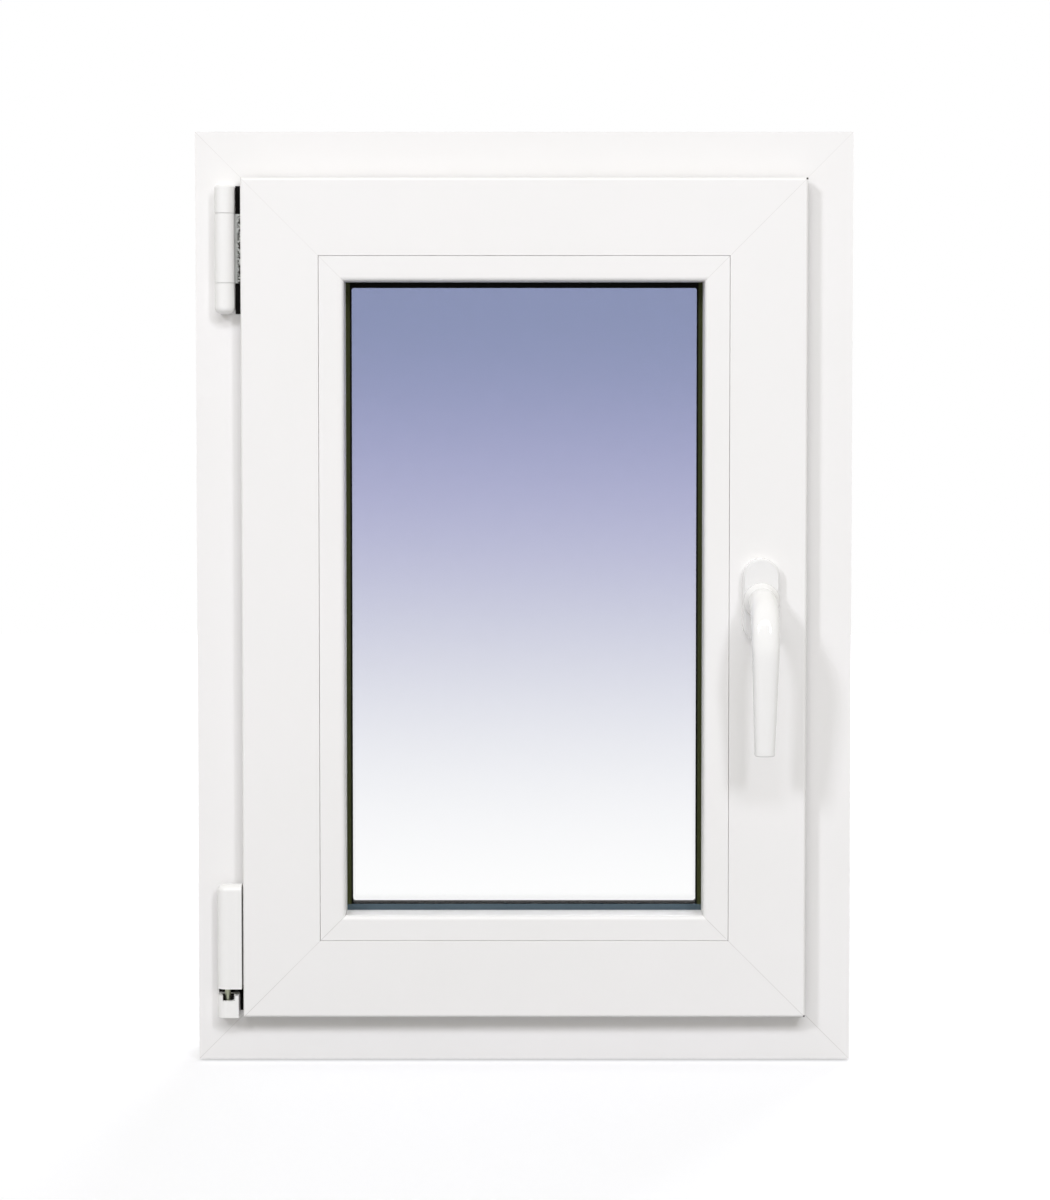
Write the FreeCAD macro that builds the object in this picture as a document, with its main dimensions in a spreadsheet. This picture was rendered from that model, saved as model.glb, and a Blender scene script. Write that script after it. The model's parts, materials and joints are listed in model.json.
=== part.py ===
"""Tilt and turn window: mitred multi-chamber frame and sash, insulating glass,
corner and stay hinges, handle and lock gear.  Millimetres, +Z up, room side -Y.
Origin: middle of the frame's bottom face."""
import math
import os

import FreeCAD
import Part
import Sketcher

V = FreeCAD.Vector
doc = FreeCAD.newDocument("window")
sheet = doc.addObject("Spreadsheet::Sheet", "dims")

SIZES = [
    # outer frame: profile height is measured inward from its outer edge
    ("frame_width", 500), ("frame_height", 710), ("frame_depth", 70),
    ("frame_face", 44), ("stop_reach", 67), ("stop_thick", 11),
    ("wall", 3), ("web", 2), ("front_chamber", 13), ("middle_chamber", 42), ("rear_chamber", 55),
    ("groove_edge", 3), ("groove_wide", 3), ("groove_deep", 3), ("groove_play", 0.2), ("frame_round", 1.5),
    # sash
    ("overlap", 8.5), ("rebate_gap", 11.5), ("seal_gap", 5), ("sash_proud", 17),
    ("sash_face", 58.8), ("bead_width", 19.3), ("leg_thick", 14),
    ("gear_groove", 16), ("gear_depth", 3), ("gear_start", 8), ("sash_chamber", 46),
    ("bevel_rise", 4), ("bevel_long", 19),
    ("edge_round", 2.2), ("bead_round", 3.5), ("small_round", 0.4),
    ("bead_gap", 0.25), ("foot_wide", 4), ("foot_deep", 5),
    # glass
    ("pane_thick", 4), ("glass_cavity", 16), ("gasket_thick", 3),
    ("glass_play", 5), ("gasket_show", 4.2), ("gasket_round", 2), ("gasket_inset", 2), ("outer_show", 3),
    ("spacer_inset", 3), ("spacer_wide", 9),
    # seals
    ("seal_thick", 4.7), ("seal_base", 1.2), ("seal_wide", 4.5), ("seal_inset", 2),
    ("lip_edge", 1.5), ("lip_wide", 3.8),
    # hinges
    ("hinge_inset", 23), ("hinge_out", 9), ("barrel_radius", 7.5),
    ("sleeve_radius", 6.2), ("pin_radius", 3), ("pin_play", 0.05),
    ("strap_thick", 2), ("strap_back", 5.8), ("strap_lap", 2), ("riser_lap", 4), ("slot_left", 4),
    ("slot_play", 0.3), ("end_lap", 1),
    ("upper_drop", 41), ("cap_tall", 21), ("knuckle_tall", 53), ("foot_tall", 23),
    ("end_play", 0.3), ("cap_bevel", 1.5), ("cap_drop_round", 5), ("plate_thick", 0.8), ("cap_wall", 3),
    ("plate_gap", 0.6), ("cup_radius", 7.6), ("cup_right", 8.8), ("packer_left", 4),
    ("packer_drop", 6), ("packer_rise", 3), ("cup_low", 35), ("cup_floor", 1.2), ("cup_front", 48),
    ("cup_high", 52), ("notch_left", 3.4), ("notch_right", 6.2),
    ("trunnion_height", 40), ("trunnion_radius", 1.2), ("corner_pin_radius", 2.2),
    ("foot_radius", 4.6), ("foot_high", 51.5), ("fork_play", 0.15), ("pin_grip", 20),
    ("cover_low", 57), ("cover_high", 137), ("cover_back", 2.2), ("cover_gap", 1.2), ("cover_round", 5),
    ("sleeve_gap", 3), ("corner_sleeve", 4.5), ("angle_reach", 22), ("cover_play", 0.02),
    # stay arm
    ("arm_reach", 215), ("arm_wide", 15), ("arm_drop", 5), ("arm_thick", 2),
    ("strap_reach", 31), ("arm_clear", 6), ("stud_long", 3.5), ("stud_end", 9),
    # handle
    ("handle_inset", 35), ("rosette_wide", 28), ("rosette_long", 64),
    ("rosette_thick", 9), ("rosette_bevel", 1.6), ("bore_deep", 6),
    ("neck_radius", 11), ("neck_deep", 5), ("neck_play", 0.1),
    ("collar_radius", 13.2), ("lever_drop", 113.7), ("lever_out", 41),
    ("lever_wide", 21.4), ("lever_thick", 15), ("tip_wide", 15.4), ("tip_thick", 11),
    ("tip_round", 1.5), ("tip_back", 7), ("grip_start", 26), ("neck_start", 2), ("collar_bevel", 1.4),
    ("collar_gap", 0.4), ("collar_thick", 5),
    # lock gear
    ("faceplate_end", 110), ("cam_radius", 4), ("cam_out", 6), ("plate_play", 0.1),
    ("cam_end", 190), ("striker_thick", 4), ("striker_long", 38), ("striker_gap", 10), ("striker_play", 1),
    ("guide_long", 200), ("guide_end", 108),
    ("drain_long", 28), ("drain_high", 5), ("drain_off", 150), ("drain_up", 32),
]
for row, (alias, value) in enumerate(SIZES, 1):
    sheet.set(f"A{row}", alias)
    sheet.set(f"B{row}", str(value))
    sheet.setAlias(f"B{row}", alias)
# lengths that follow from the sizes above
DERIVED = [
    ("sash_inset", "frame_face - overlap"),
    ("sash_width", "frame_width - 2 * sash_inset"),
    ("sash_height", "frame_height - 2 * sash_inset"),
    ("sash_depth", "sash_proud + frame_depth - stop_thick - seal_gap"),
    ("lip_thick", "sash_proud - seal_gap"),
    ("sash_step", "overlap + rebate_gap"),
    ("sash_reach", "sash_face + bead_width"),
    ("leg_start", "sash_depth - leg_thick"),
    ("bead_back", "leg_start - 2 * gasket_thick - 2 * pane_thick - glass_cavity"),
    ("glass_edge", "sash_face + glass_play"),
    ("glass_width", "sash_width - 2 * glass_edge"),
    ("glass_height", "sash_height - 2 * glass_edge"),
    ("mid_height", "frame_height / 2"),
    ("face_row", "-frame_depth / 2"),
    ("sash_row", "-frame_depth / 2 - sash_proud"),
    ("hinge_x", "hinge_inset - frame_width / 2"),
    ("hinge_row", "-frame_depth / 2 - hinge_out"),
    ("handle_x", "frame_width / 2 - sash_inset - handle_inset"),
    ("rosette_row", "-frame_depth / 2 - sash_proud - rosette_thick"),
    ("gear_row", "-frame_depth / 2 - sash_proud + lip_thick + gear_start"),
    ("edge_x", "frame_width / 2 - sash_inset - sash_step"),
    ("upper_high", "frame_height - upper_drop"),
    ("knuckle_high", "upper_high - cap_tall"),
    ("knuckle_low", "knuckle_high - knuckle_tall"),
    ("upper_low", "knuckle_low - foot_tall"),
    ("arm_high", "frame_height - frame_face - arm_drop"),
    ("arm_start", "frame_face - hinge_inset + arm_clear"),
]
for row, (alias, text) in enumerate(DERIVED, len(SIZES) + 1):
    sheet.set(f"A{row}", alias)
    sheet.set(f"B{row}", "=" + text)
    sheet.setAlias(f"B{row}", alias)
doc.recompute()

NAMES = sorted((w for w, _ in SIZES + DERIVED), key=len, reverse=True)
FINAL = []


def ex(text):
    """Write an expression over the sheet's aliases as one over dims.alias."""
    out, word = "", ""
    for ch in str(text) + " ":
        if ch.isalnum() or ch in "_.":
            word += ch
            continue
        out += ("dims." + word if word in NAMES else word) + ch
        word = ""
    return out.strip()


def num(text):
    return float(sheet.evalExpression(ex(text)))


def bind(obj, prop, text):
    obj.setExpression(prop, ex(text))


def place(obj, x="0", y="0", z="0", axis=None, angle=0):
    if axis:
        obj.Placement = FreeCAD.Placement(V(0, 0, 0), FreeCAD.Rotation(V(*axis), angle))
    for key, text in (("x", x), ("y", y), ("z", z)):
        if str(text) != "0":
            bind(obj, "Placement.Base." + key, text)


def new_body(label, x="0", y="0", z="0", axis=None, angle=0):
    body = doc.addObject("PartDesign::Body", label)
    body.Label = label
    place(body, x, y, z, axis, angle)
    FINAL.append(body)
    return body


def new_sketch(body, plane, name, offset="0"):
    sk = body.newObject("Sketcher::SketchObject", name)
    base = [f for f in body.Origin.OriginFeatures if f.Role == plane][0]
    sk.AttachmentSupport = [(base, "")]
    sk.MapMode = "FlatFace"
    if str(offset) != "0":
        bind(sk, "AttachmentOffset.Base.z", offset)
    return sk


def outline(sk, points):
    """A closed line of corners, each held by two lengths from the sheet."""
    at = [V(num(a), num(b), 0) for a, b in points]
    ids = [sk.addGeometry(Part.LineSegment(p, at[(i + 1) % len(at)]), False)
           for i, p in enumerate(at)]
    for i, gid in enumerate(ids):
        sk.addConstraint(Sketcher.Constraint("Coincident", gid, 2, ids[(i + 1) % len(ids)], 1))
    for i, gid in enumerate(ids):
        for kind, text, value, axis in (("DistanceX", points[i][0], at[i].x, -2),
                                        ("DistanceY", points[i][1], at[i].y, -1)):
            if str(text) == "0":
                sk.addConstraint(Sketcher.Constraint("PointOnObject", gid, 1, axis))
            else:
                k = sk.addConstraint(Sketcher.Constraint(kind, -1, 1, gid, 1, value))
                bind(sk, f"Constraints[{k}]", text)


def rectangle(sk, x0, y0, x1, y1):
    outline(sk, [(x0, y0), (x1, y0), (x1, y1), (x0, y1)])


def centred(sk, wide, high):
    rectangle(sk, f"-({wide}) / 2", f"-({high}) / 2", f"({wide}) / 2", f"({high}) / 2")


def circle(sk, radius, x="0", y="0"):
    gid = sk.addGeometry(Part.Circle(V(num(x), num(y), 0), V(0, 0, 1), num(radius)), False)
    k = sk.addConstraint(Sketcher.Constraint("Radius", gid, num(radius)))
    bind(sk, f"Constraints[{k}]", radius)
    for kind, text, axis in (("DistanceX", x, -2), ("DistanceY", y, -1)):
        if str(text) == "0":
            sk.addConstraint(Sketcher.Constraint("PointOnObject", gid, 3, axis))
        else:
            k = sk.addConstraint(Sketcher.Constraint(kind, -1, 1, gid, 3, num(text)))
            bind(sk, f"Constraints[{k}]", text)


def pad(body, sk, length, name="pad", both=False, flip=False):
    f = body.newObject("PartDesign::Pad", name)
    f.Profile = sk
    if both:
        f.SideType = "Symmetric"
    f.Reversed = flip
    bind(f, "Length", length)
    return f


def pocket(body, sk, length, name="cut", both=True, flip=False):
    f = body.newObject("PartDesign::Pocket", name)
    f.Profile = sk
    if both:
        f.SideType = "Symmetric"
    f.Reversed = flip
    bind(f, "Length", length)
    return f


def rounded(body, base, pick, size, name="round", kind="Fillet"):
    """Fillet or chamfer the edges of base whose middle and direction pick() accepts."""
    doc.recompute()
    names = []
    for i, e in enumerate(base.Shape.Edges, 1):
        mid = e.valueAt((e.FirstParameter + e.LastParameter) / 2)
        if pick(e, mid):
            names.append(f"Edge{i}")
    if not names:
        raise RuntimeError(f"{body.Label}: no edge for {name}")
    f = body.newObject("PartDesign::" + kind, name)
    f.Base = (base, names)
    bind(f, "Radius" if kind == "Fillet" else "Size", size)
    return f


def along(e, axis, least=1.0):
    b = e.BoundBox
    size = {"x": b.XLength, "y": b.YLength, "z": b.ZLength}
    rest = [v for k, v in size.items() if k != axis]
    return size[axis] > least and max(rest) < 1e-4


def near(*pairs):
    return all(abs(a - num(b)) < 1e-3 for a, b in pairs)


def block(label, x0, y0, z0, x1, y1, z1, final=True):
    b = doc.addObject("Part::Box", label)
    b.Label = label
    for prop, lo, hi in (("Length", x0, x1), ("Width", y0, y1), ("Height", z0, z1)):
        bind(b, prop, f"({hi}) - ({lo})")
    place(b, f"({x0}) + 0", f"({y0}) + 0", f"({z0}) + 0")
    if final:
        FINAL.append(b)
    return b


def rod(label, radius, length, x, y, z, axis=None, angle=0, final=False):
    c = doc.addObject("Part::Cylinder", label)
    c.Label = label
    bind(c, "Radius", radius)
    bind(c, "Height", length)
    place(c, x, y, z, axis, angle)
    if final:
        FINAL.append(c)
    return c


def joined(label, pieces, minus=()):
    """One sub-part: the pieces together, less the tools in minus."""
    out = pieces[0]
    if len(pieces) > 1:
        out = doc.addObject("Part::MultiFuse", label + "_all" if minus else label)
        out.Shapes = pieces
        out.Refine = True
    for i, tool in enumerate(minus):
        cut = doc.addObject("Part::Cut", f"{label}_less{i}")
        cut.Base, cut.Tool = out, tool
        cut.Refine = True
        out = cut
    out.Label = label
    FINAL.append(out)
    return out


# mitred members: local X is the length, Y the depth from the room face, Z inward

def member(label, corners, chambers, length, reach, rounds, x, y, z, turn, extra=None):
    body = new_body(label, x, y, z, (0, 1, 0), turn)
    sk = new_sketch(body, "YZ_Plane", label + "_section")
    outline(sk, corners)
    for y0, u0, y1, u1 in chambers:
        rectangle(sk, y0, u0, y1, u1)
    last = pad(body, sk, length, label + "_length", both=True)
    for n, (yy, uu, size) in enumerate(rounds):
        last = rounded(body, last, lambda e, m: along(e, "x", 50) and
                       near((m.y, yy), (m.z, uu)), size, f"{label}_round{n}")
    cut = new_sketch(body, "XZ_Plane", label + "_mitre")
    half = f"({length}) / 2"
    for s in ("", "-"):
        outline(cut, [(f"{s}({half} + 10)", "-10"), (f"{s}({half} + 10)", f"{reach} + 5"),
                      (f"{s}({half} - {reach} - 5)", f"{reach} + 5")])
    last = pocket(body, cut, "400", label + "_ends")
    if extra:
        extra(body)
    return body


FRAME = [("0", "0"), ("frame_depth", "0"), ("frame_depth", "stop_reach"),
         ("frame_depth - stop_thick", "stop_reach"),
         ("frame_depth - stop_thick", "stop_reach - groove_edge"),
         ("frame_depth - stop_thick + groove_deep", "stop_reach - groove_edge"),
         ("frame_depth - stop_thick + groove_deep", "stop_reach - groove_edge - groove_wide"),
         ("frame_depth - stop_thick", "stop_reach - groove_edge - groove_wide"),
         ("frame_depth - stop_thick", "frame_face"), ("0", "frame_face")]
FRAME_CHAMBERS = [("wall", "wall", "front_chamber", "frame_face - wall"),
                  ("front_chamber + web", "wall", "middle_chamber", "frame_face - wall"),
                  ("middle_chamber + web", "wall", "rear_chamber", "frame_face - wall"),
                  ("rear_chamber + web", "wall", "frame_depth - wall", "frame_face - wall"),
                  ("frame_depth - stop_thick + wall", "frame_face", "frame_depth - wall",
                   "stop_reach - groove_edge - groove_wide - wall")]
FRAME_ROUNDS = [("0", "frame_face", "frame_round"), ("frame_depth", "stop_reach", "edge_round")]


def drains(body):
    sk = new_sketch(body, "XZ_Plane", "drain_slots", "-frame_depth")
    for s in ("", "-"):
        x = f"{s}(drain_off)"
        rectangle(sk, f"{x} - drain_long / 2", "drain_up - drain_high / 2",
                  f"{x} + drain_long / 2", "drain_up + drain_high / 2")
    pocket(body, sk, "2 * wall + 2", "drain_cut")


for side, x, z, turn, length in (("bottom", "0", "0", 0, "frame_width"),
                                 ("top", "0", "frame_height", 180, "frame_width"),
                                 ("left", "-frame_width / 2", "mid_height", 90, "frame_height"),
                                 ("right", "frame_width / 2", "mid_height", -90, "frame_height")):
    member("frame_" + side, FRAME, FRAME_CHAMBERS, length, "stop_reach", FRAME_ROUNDS,
           x, "face_row", z, turn, drains if side == "bottom" else None)

SASH = [("0", "0"), ("0", "sash_face"), ("sash_proud", "sash_face"),
        ("sash_proud", "sash_face - foot_deep"), ("sash_proud + foot_wide", "sash_face - foot_deep"),
        ("sash_proud + foot_wide", "sash_face"), ("leg_start", "sash_face"),
        ("leg_start", "sash_reach"), ("sash_depth", "sash_reach"),
        ("sash_depth", "sash_step + bevel_rise"), ("sash_depth - bevel_long", "sash_step"),
        ("lip_thick + gear_start + gear_groove", "sash_step"),
        ("lip_thick + gear_start + gear_groove", "sash_step + gear_depth"),
        ("lip_thick + gear_start", "sash_step + gear_depth"),
        ("lip_thick + gear_start", "sash_step"), ("lip_thick", "sash_step"), ("lip_thick", "0")]
SASH_CHAMBERS = [("wall", "wall", "lip_thick - wall", "sash_face - wall - foot_deep"),
                 ("lip_thick - wall + web", "sash_step + gear_depth + wall", "sash_chamber",
                  "sash_face - wall - foot_deep"),
                 ("sash_chamber + web", "sash_step + bevel_rise + wall", "sash_depth - wall",
                  "sash_face - wall"),
                 ("leg_start + wall", "sash_face", "sash_depth - wall", "sash_reach - wall")]
SASH_ROUNDS = [("0", "0", "edge_round"), ("0", "sash_face", "small_round"),
               ("sash_depth", "sash_reach", "edge_round"), ("lip_thick", "0", "small_round")]
BEAD = [("bead_gap", "sash_face + bead_gap"), ("bead_gap", "sash_reach"), ("bead_back", "sash_reach"),
        ("bead_back", "sash_face + bead_gap"),
        ("sash_proud + foot_wide - bead_gap", "sash_face + bead_gap"),
        ("sash_proud + foot_wide - bead_gap", "sash_face - foot_deep + bead_gap"),
        ("sash_proud + bead_gap", "sash_face - foot_deep + bead_gap"),
        ("sash_proud + bead_gap", "sash_face + bead_gap")]
BEAD_CHAMBERS = [("bead_gap + web", "sash_face + bead_gap + web", "bead_back - web",
                  "sash_reach - bead_round + 1")]
BEAD_ROUNDS = [("bead_gap", "sash_reach", "bead_round"),
               ("bead_gap", "sash_face + bead_gap", "small_round")]
for side, x, z, turn, length in (
        ("bottom", "0", "sash_inset", 0, "sash_width"),
        ("top", "0", "frame_height - sash_inset", 180, "sash_width"),
        ("left", "sash_inset - frame_width / 2", "mid_height", 90, "sash_height"),
        ("right", "frame_width / 2 - sash_inset", "mid_height", -90, "sash_height")):
    member("sash_" + side, SASH, SASH_CHAMBERS, length, "sash_reach", SASH_ROUNDS,
           x, "sash_row", z, turn)
    member("bead_" + side, BEAD, BEAD_CHAMBERS, length, "sash_reach", BEAD_ROUNDS,
           x, "sash_row", z, turn)


# rings round the window: seals, gaskets and the spacer of the glass unit

def ring(label, wide, high, inner_wide, inner_high, far, thick, row="sash_row"):
    body = new_body(label, "0", row, "mid_height")
    sk = new_sketch(body, "XZ_Plane", label + "_ring", f"-({far})")
    centred(sk, wide, high)
    centred(sk, inner_wide, inner_high)
    return body, pad(body, sk, thick, label + "_thick")


glass_far = "leg_start - gasket_thick"
for label, far in (("outer_pane", glass_far),
                   ("inner_pane", f"{glass_far} - pane_thick - glass_cavity")):
    block(label, "-glass_width / 2", f"sash_row + {far} - pane_thick", "mid_height - glass_height / 2",
          "glass_width / 2", f"sash_row + {far}", "mid_height + glass_height / 2")
ring("spacer_frame", "glass_width - 2 * spacer_inset", "glass_height - 2 * spacer_inset",
     "glass_width - 2 * spacer_inset - 2 * spacer_wide", "glass_height - 2 * spacer_inset - 2 * spacer_wide",
     f"{glass_far} - pane_thick", "glass_cavity")


def upright(body, last, wide, high, size, name):
    return rounded(body, last, lambda e, m: along(e, "y") and near(
        (abs(m.x), f"({wide}) / 2"), (abs(m.z), f"({high}) / 2")), size, name)


sight_w = "sash_width - 2 * sash_reach - 2 * gasket_show"
sight_h = "sash_height - 2 * sash_reach - 2 * gasket_show"
body, last = ring("inner_gasket", "glass_width - 2 * gasket_inset", "glass_height - 2 * gasket_inset",
                  sight_w, sight_h, "bead_back + gasket_thick", "gasket_thick")
last = upright(body, last, sight_w, sight_h, "gasket_round", "inner_gasket_corners")
rounded(body, last, lambda e, m: abs(m.y - num("bead_back")) < 1e-3 and
        abs(m.x) < num(sight_w) / 2 + 0.01 and abs(m.z) < num(sight_h) / 2 + 0.01,
        "gasket_round", "inner_gasket_lip", "Chamfer")
outer_w = "sash_width - 2 * sash_reach - 2 * outer_show"
outer_h = "sash_height - 2 * sash_reach - 2 * outer_show"
body, last = ring("outer_gasket", "glass_width - 2 * gasket_inset", "glass_height - 2 * gasket_inset",
                  outer_w, outer_h, "leg_start", "gasket_thick")
upright(body, last, outer_w, outer_h, "gasket_round", "outer_gasket_corners")

body, last = ring("sash_seal", "sash_width - 2 * seal_inset", "sash_height - 2 * seal_inset",
                  "sash_width - 2 * seal_inset - 2 * seal_wide",
                  "sash_height - 2 * seal_inset - 2 * seal_wide",
                  "lip_thick + seal_thick", "seal_thick")
sk = new_sketch(body, "YZ_Plane", "sash_seal_breaks", "-sash_width / 2")
for low, high in (("cover_low - 6", "cover_high + 6"), ("knuckle_low - 8", "arm_high + 2")):
    rectangle(sk, "lip_thick + seal_base", f"{low} - mid_height", "lip_thick + seal_thick + 1",
              f"{high} - mid_height")
pocket(body, sk, "4 * seal_wide", "sash_seal_cut")

opening = ("frame_width - 2 * stop_reach", "frame_height - 2 * stop_reach")
lip_far = " + 2 * lip_edge + 2 * lip_wide"
body, last = ring("frame_seal", opening[0] + lip_far, opening[1] + lip_far,
                  opening[0] + " + 2 * lip_edge", opening[1] + " + 2 * lip_edge",
                  "frame_depth - stop_thick", "seal_thick", "face_row")
foot_depth = "groove_deep - groove_play"
sk = new_sketch(body, "XZ_Plane", "frame_seal_foot", f"-(frame_depth - stop_thick + {foot_depth})")
for edge in ("groove_edge + groove_wide - groove_play", "groove_edge + groove_play"):
    centred(sk, f"{opening[0]} + 2 * ({edge})", f"{opening[1]} + 2 * ({edge})")
pad(body, sk, foot_depth, "frame_seal_foot_pad")


# upper hinge: bearing on the frame, pin, stay arm and its cover

def barrel_plan(sk, radius, back, right=None):
    """Half-round front, straight sides running back (and right) from the pin axis."""
    r = num(radius)
    d = num(back)
    e = num(right) if right else r
    p = [V(-r, 0, 0), V(-r, d, 0), V(e, d, 0), V(e, 0, 0)]
    if right:
        p = [V(-r, 0, 0), V(-r, d, 0), V(e, d, 0), V(e, -r, 0), V(0, -r, 0)]
    ids = [sk.addGeometry(Part.LineSegment(p[i], p[i + 1]), False) for i in range(len(p) - 1)]
    first, stop = (math.pi, 1.5 * math.pi) if right else (math.pi, 2 * math.pi)
    arc = sk.addGeometry(Part.ArcOfCircle(Part.Circle(V(0, 0, 0), V(0, 0, 1), r), first, stop), False)
    for a, b in zip(ids, ids[1:]):
        sk.addConstraint(Sketcher.Constraint("Coincident", a, 2, b, 1))
    sk.addConstraint(Sketcher.Constraint("Coincident", ids[-1], 2, arc, 2))
    sk.addConstraint(Sketcher.Constraint("Coincident", ids[0], 1, arc, 1))
    sk.addConstraint(Sketcher.Constraint("Coincident", arc, 3, -1, 1))
    sk.addConstraint(Sketcher.Constraint("PointOnObject", ids[0], 1, -1))
    sk.addConstraint(Sketcher.Constraint("Vertical", ids[0]))
    sk.addConstraint(Sketcher.Constraint("Horizontal", ids[1]))
    sk.addConstraint(Sketcher.Constraint("Vertical", ids[2]))
    if right:
        sk.addConstraint(Sketcher.Constraint("Horizontal", ids[3]))
        sk.addConstraint(Sketcher.Constraint("PointOnObject", ids[3], 2, -2))
        k = sk.addConstraint(Sketcher.Constraint("DistanceX", -1, 1, ids[1], 2, e))
        bind(sk, f"Constraints[{k}]", right)
    else:
        sk.addConstraint(Sketcher.Constraint("PointOnObject", ids[2], 2, -1))
    k = sk.addConstraint(Sketcher.Constraint("Radius", arc, r))
    bind(sk, f"Constraints[{k}]", radius)
    k = sk.addConstraint(Sketcher.Constraint("DistanceY", -1, 1, ids[0], 2, d))
    bind(sk, f"Constraints[{k}]", back)


plate_right = "sash_inset - hinge_inset - plate_gap"
body = new_body("upper_packer", "hinge_x", "face_row")
sk = new_sketch(body, "XZ_Plane", "upper_packer_plan")
rectangle(sk, "barrel_radius", "upper_low", plate_right, "upper_high")
pad(body, sk, "plate_thick", "upper_packer_pad")

body = new_body("upper_hinge_bearing", "hinge_x", "hinge_row")
sk = new_sketch(body, "XY_Plane", "upper_plate", "upper_low")
rectangle(sk, "-barrel_radius", "hinge_out - plate_thick", "barrel_radius", "hinge_out")
pad(body, sk, "upper_high - upper_low", "upper_plate_pad")
for label, low, high in (("lower_knuckle", "upper_low", "knuckle_low"),
                         ("upper_knuckle", "knuckle_high", "upper_high")):
    sk = new_sketch(body, "XY_Plane", label, low)
    barrel_plan(sk, "barrel_radius", "hinge_out")
    last = pad(body, sk, f"{high} - ({low})", label + "_pad")
sk = new_sketch(body, "XY_Plane", "upper_bore", "upper_low + cap_wall")
circle(sk, "pin_radius + pin_play")
last = pocket(body, sk, "upper_high - upper_low - 2 * cap_wall + 1", "upper_bore_cut", both=False, flip=True)
free = num("hinge_out - plate_thick") - 0.1
last = rounded(body, last, lambda e, m: near((m.z, "upper_high")) and m.y < free,
               "cap_bevel", "upper_cap_bevel", "Chamfer")
last = rounded(body, last, lambda e, m: near((m.z, "upper_low")) and m.y < free,
               "cap_drop_round", "lower_cap_round")

rod("upper_hinge_pin", "pin_radius", "upper_high - upper_low - 2 * cap_wall", "hinge_x", "hinge_row",
    "upper_low + cap_wall + end_play", final=True)

axis_x = "hinge_x"
axis_y = "hinge_row"
sleeve_low = "knuckle_low + end_play"
sleeve_high = "knuckle_high - end_play"
strap_front = f"{axis_y} + strap_back"
strap_rear = f"{axis_y} + strap_back + strap_thick"
sleeve = rod("stay_sleeve", "sleeve_radius", f"{sleeve_high} - ({sleeve_low})", axis_x, axis_y, sleeve_low)
strap = block("stay_strap", f"{axis_x} - strap_lap", strap_front, sleeve_low,
              f"{axis_x} + strap_reach", strap_rear, sleeve_high, False)
riser = block("stay_riser", f"{axis_x} + strap_reach / 2", strap_front, f"{sleeve_high} - riser_lap",
              f"{axis_x} + strap_reach", strap_rear, "arm_high", False)
bar = block("stay_bar", f"{axis_x} + arm_start", strap_front, "arm_high - arm_thick",
            f"{axis_x} + arm_reach", f"{strap_front} + arm_wide", "arm_high", False)
stud = rod("stay_stud", "cam_radius", "stud_long + arm_thick", f"{axis_x} + arm_reach - stud_end",
           f"{strap_front} + arm_wide / 2", "arm_high - arm_thick - stud_long")
bore = rod("stay_bore", "pin_radius + pin_play", "upper_high - upper_low", axis_x, axis_y, "upper_low")
joined("stay_arm", [sleeve, strap, riser, bar, stud], [bore])

body = new_body("stay_cover", axis_x, axis_y)
sk = new_sketch(body, "XY_Plane", "stay_cover_ring", sleeve_low)
circle(sk, "barrel_radius")
circle(sk, "sleeve_radius + cover_play")
pad(body, sk, f"{sleeve_high} - ({sleeve_low})", "stay_cover_pad")
sk = new_sketch(body, "XY_Plane", "stay_cover_slot", "knuckle_low")
rectangle(sk, "-slot_left", "strap_back - slot_play", "2 * barrel_radius", "2 * barrel_radius")
pocket(body, sk, "knuckle_high - knuckle_low", "stay_cover_cut", both=False, flip=True)

# lower hinge: cup on the frame, turning foot with its cross pin, pin, angle and cover on the sash
body = new_body("corner_packer", axis_x, "face_row")
sk = new_sketch(body, "XZ_Plane", "corner_packer_plan")
outline(sk, [("cup_right", "cup_low + packer_rise"), (plate_right, "cup_low + packer_rise"),
             (plate_right, "cover_high - packer_drop"), ("packer_left", "cover_high - packer_drop"),
             ("packer_left", "cover_low"), ("-cup_radius", "cover_low"),
             ("-cup_radius", "cup_high"), ("cup_right", "cup_high")])
pad(body, sk, "plate_thick", "corner_packer_pad")

body = new_body("corner_bearing", axis_x, axis_y)
sk = new_sketch(body, "XY_Plane", "cup_plan", "cup_low")
barrel_plan(sk, "cup_radius", "hinge_out", "cup_right")
pad(body, sk, "cup_high - cup_low", "cup_pad")
sk = new_sketch(body, "XY_Plane", "cup_bore", "cup_low + cup_floor")
circle(sk, "foot_radius + pin_play")
pocket(body, sk, "cup_high - cup_low", "cup_bore_cut", both=False, flip=True)
sk = new_sketch(body, "XZ_Plane", "cup_notch")
rectangle(sk, "-notch_left", "cup_front", "notch_right", "cup_high + cup_floor")
pocket(body, sk, "cup_radius + 1", "cup_notch_cut", both=False, flip=True)

body = new_body("corner_foot", axis_x, axis_y)
sk = new_sketch(body, "XY_Plane", "foot_plan", "cup_low + cup_floor + pin_play")
circle(sk, "foot_radius")
pad(body, sk, "foot_high - cup_low - cup_floor - pin_play", "foot_pad")
sk = new_sketch(body, "YZ_Plane", "foot_fork")
rectangle(sk, "-2 * foot_radius", "trunnion_height - corner_pin_radius", "2 * foot_radius", "2 * foot_high")
pocket(body, sk, "2 * corner_pin_radius + 2 * fork_play", "foot_fork_cut")
sk = new_sketch(body, "YZ_Plane", "foot_cross")
circle(sk, "trunnion_radius", "0", "trunnion_height")
pad(body, sk, "2 * foot_radius - trunnion_radius", "foot_cross_pin", both=True)

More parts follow.
